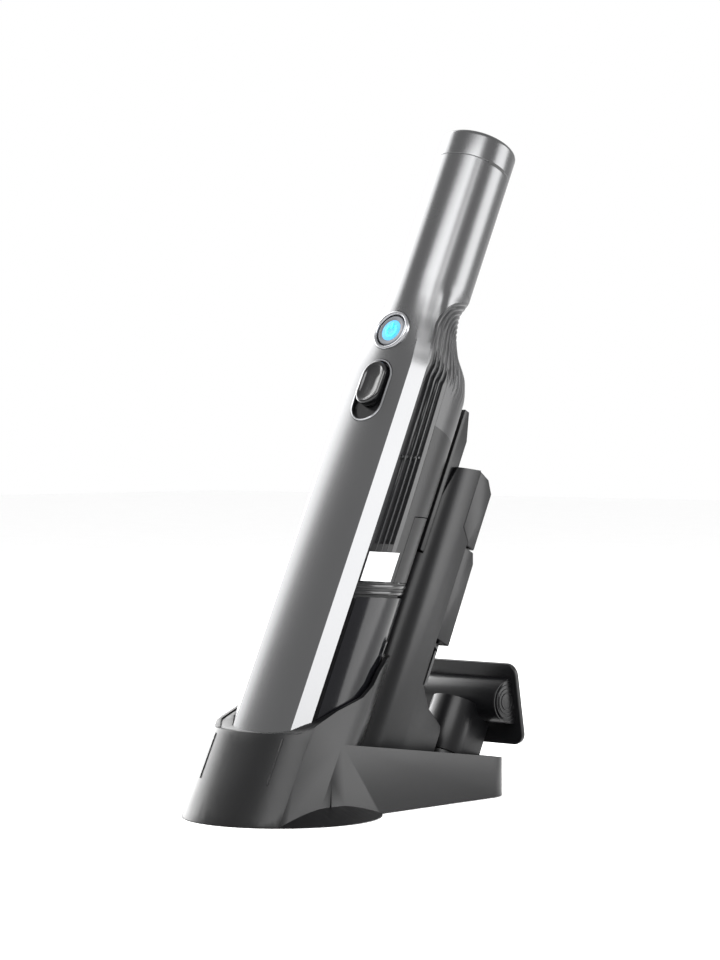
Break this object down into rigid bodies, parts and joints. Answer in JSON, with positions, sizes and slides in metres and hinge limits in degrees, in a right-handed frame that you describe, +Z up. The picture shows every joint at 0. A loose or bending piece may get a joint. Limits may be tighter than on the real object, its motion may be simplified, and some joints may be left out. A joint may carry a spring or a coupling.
{
  "type": "handheld vacuum",
  "caption": "Slim cordless wand vacuum with clear dust cup, leaning in a charging dock whose tray holds a crevice tool with sliding brush and an upholstery tool.",
  "frame": {"origin": "on the table under the centre of the dock's round foot", "axes": "+Z up, the vacuum's front with its buttons faces -Y, and it leans back towards +Y"},
  "size_m": [0.1096, 0.2419, 0.3839],
  "materials": {
    "gunmetal": "satin metallic paint with fine grain",
    "dark_plastic": "fine moulded texture",
    "dock_plastic": "satin moulded",
    "tool_plastic": "satin moulded",
    "gloss_black": "glossy",
    "silver": "fine brushed",
    "button_face": "satin",
    "light_blue": "lit",
    "label_white": "blank, satin",
    "smoke_clear": "smoked clear plastic",
    "seal_rubber": "matte",
    "filter_cloth": "felt",
    "board_green": "solder mask",
    "cell_wrap": "shrink wrap",
    "steel": "turned",
    "copper_brass": "plated",
    "bristle": "nylon tufts",
    "lint_red": "short velour pile",
    "alloy": "machined"
  },
  "bodies": {
    "dock": {"dock_shell": "dock_plastic", "cradle": "dock_plastic", "dock_base": "dock_plastic", "dock_screws": "steel", "foot_pads": "seal_rubber", "accessory_rack": "dock_plastic", "power_jack": "gloss_black", "dock_board": "board_green", "pin_springs": "copper_brass"},
    "charge_pins_body": {"charge_pins": "copper_brass"},
    "vacuum": {"front_shell": "gunmetal", "handle_spine": "dark_plastic", "rear_housing": "dark_plastic", "rear_grip": "dark_plastic", "rear_panel": "dark_plastic", "vent_grille_left": "dark_plastic", "vent_grille_right": "dark_plastic", "side_label": "label_white", "end_cap": "gunmetal", "power_bezel": "silver", "power_switch": "gloss_black", "power_light": "light_blue", "dome_spring": "steel", "slider_rim": "silver", "return_spring": "steel", "control_board": "board_green", "battery_cells": "cell_wrap", "battery_carrier": "dark_plastic", "motor_shroud": "dark_plastic", "motor_can": "steel", "motor_bearings": "steel", "stator": "steel", "motor_mounts": "seal_rubber", "dust_cup": "smoke_clear", "cup_seal": "seal_rubber", "bulkhead": "dark_plastic", "bulkhead_screws": "steel", "filter_frame": "gloss_black", "dust_filter": "filter_cloth", "inlet_tube": "dark_plastic", "flap_pin": "steel", "nozzle": "dark_plastic", "charge_contacts": "copper_brass"},
    "power_key": {"power_button": "button_face"},
    "release": {"release_slider": "gloss_black", "latch_rod": "gloss_black"},
    "rotor": {"motor_rotor": "steel", "fan_impeller": "alloy"},
    "flap": {"inlet_flap": "gloss_black"},
    "crevice_tool": {"crevice_shell": "tool_plastic", "crevice_tip": "tool_plastic"},
    "duster_brush": {"brush_thumb": "tool_plastic", "brush_carriage": "tool_plastic", "brush_bristles": "bristle"},
    "upholstery_tool": {"upholstery_neck": "tool_plastic", "upholstery_head": "tool_plastic", "mouth_plate": "tool_plastic", "lint_strips": "lint_red"}
  },
  "joints": [
    {"name": "vacuum_lift", "type": "slide", "parent": "dock", "child": "vacuum", "axis": [0, 0.4462, 0.8949], "range_m": [0, 0.12]},
    {"name": "power_press", "type": "slide", "parent": "vacuum", "child": "power_key", "axis": [0, 0.8949, -0.4462], "range_m": [0, 0.001], "stiffness_N_per_m": 900, "springref_m": -0.0005},
    {"name": "release_slide", "type": "slide", "parent": "vacuum", "child": "release", "axis": [0, -0.4462, -0.8949], "range_m": [0, 0.006], "stiffness_N_per_m": 400, "springref_m": -0.004},
    {"name": "rotor_spin", "type": "hinge", "parent": "vacuum", "child": "rotor", "pos_m": [0, 0.07199, 0.16075], "axis": [0, 0.4462, 0.8949], "continuous": true},
    {"name": "inlet_flap_hinge", "type": "hinge", "parent": "vacuum", "child": "flap", "pos_m": [0, 0.01528, 0.09204], "axis": [1, 0, 0], "range_deg": [0, 65], "stiffness_Nm_per_rad": 0.002, "springref_deg": -20.05},
    {"name": "crevice_lift", "type": "slide", "parent": "dock", "child": "crevice_tool", "axis": [0, 0.4462, 0.8949], "range_m": [0, 0.08]},
    {"name": "brush_slide", "type": "slide", "parent": "crevice_tool", "child": "duster_brush", "axis": [0, 0.4462, 0.8949], "range_m": [0, 0.025]},
    {"name": "upholstery_lift", "type": "slide", "parent": "dock", "child": "upholstery_tool", "axis": [0, 0.4462, 0.8949], "range_m": [0, 0.06]},
    {"name": "charge_pin_press", "type": "slide", "parent": "dock", "child": "charge_pins_body", "axis": [0, -0.4462, -0.8949], "range_m": [0, 0.001], "stiffness_N_per_m": 1500, "springref_m": -0.0006}
  ]
}
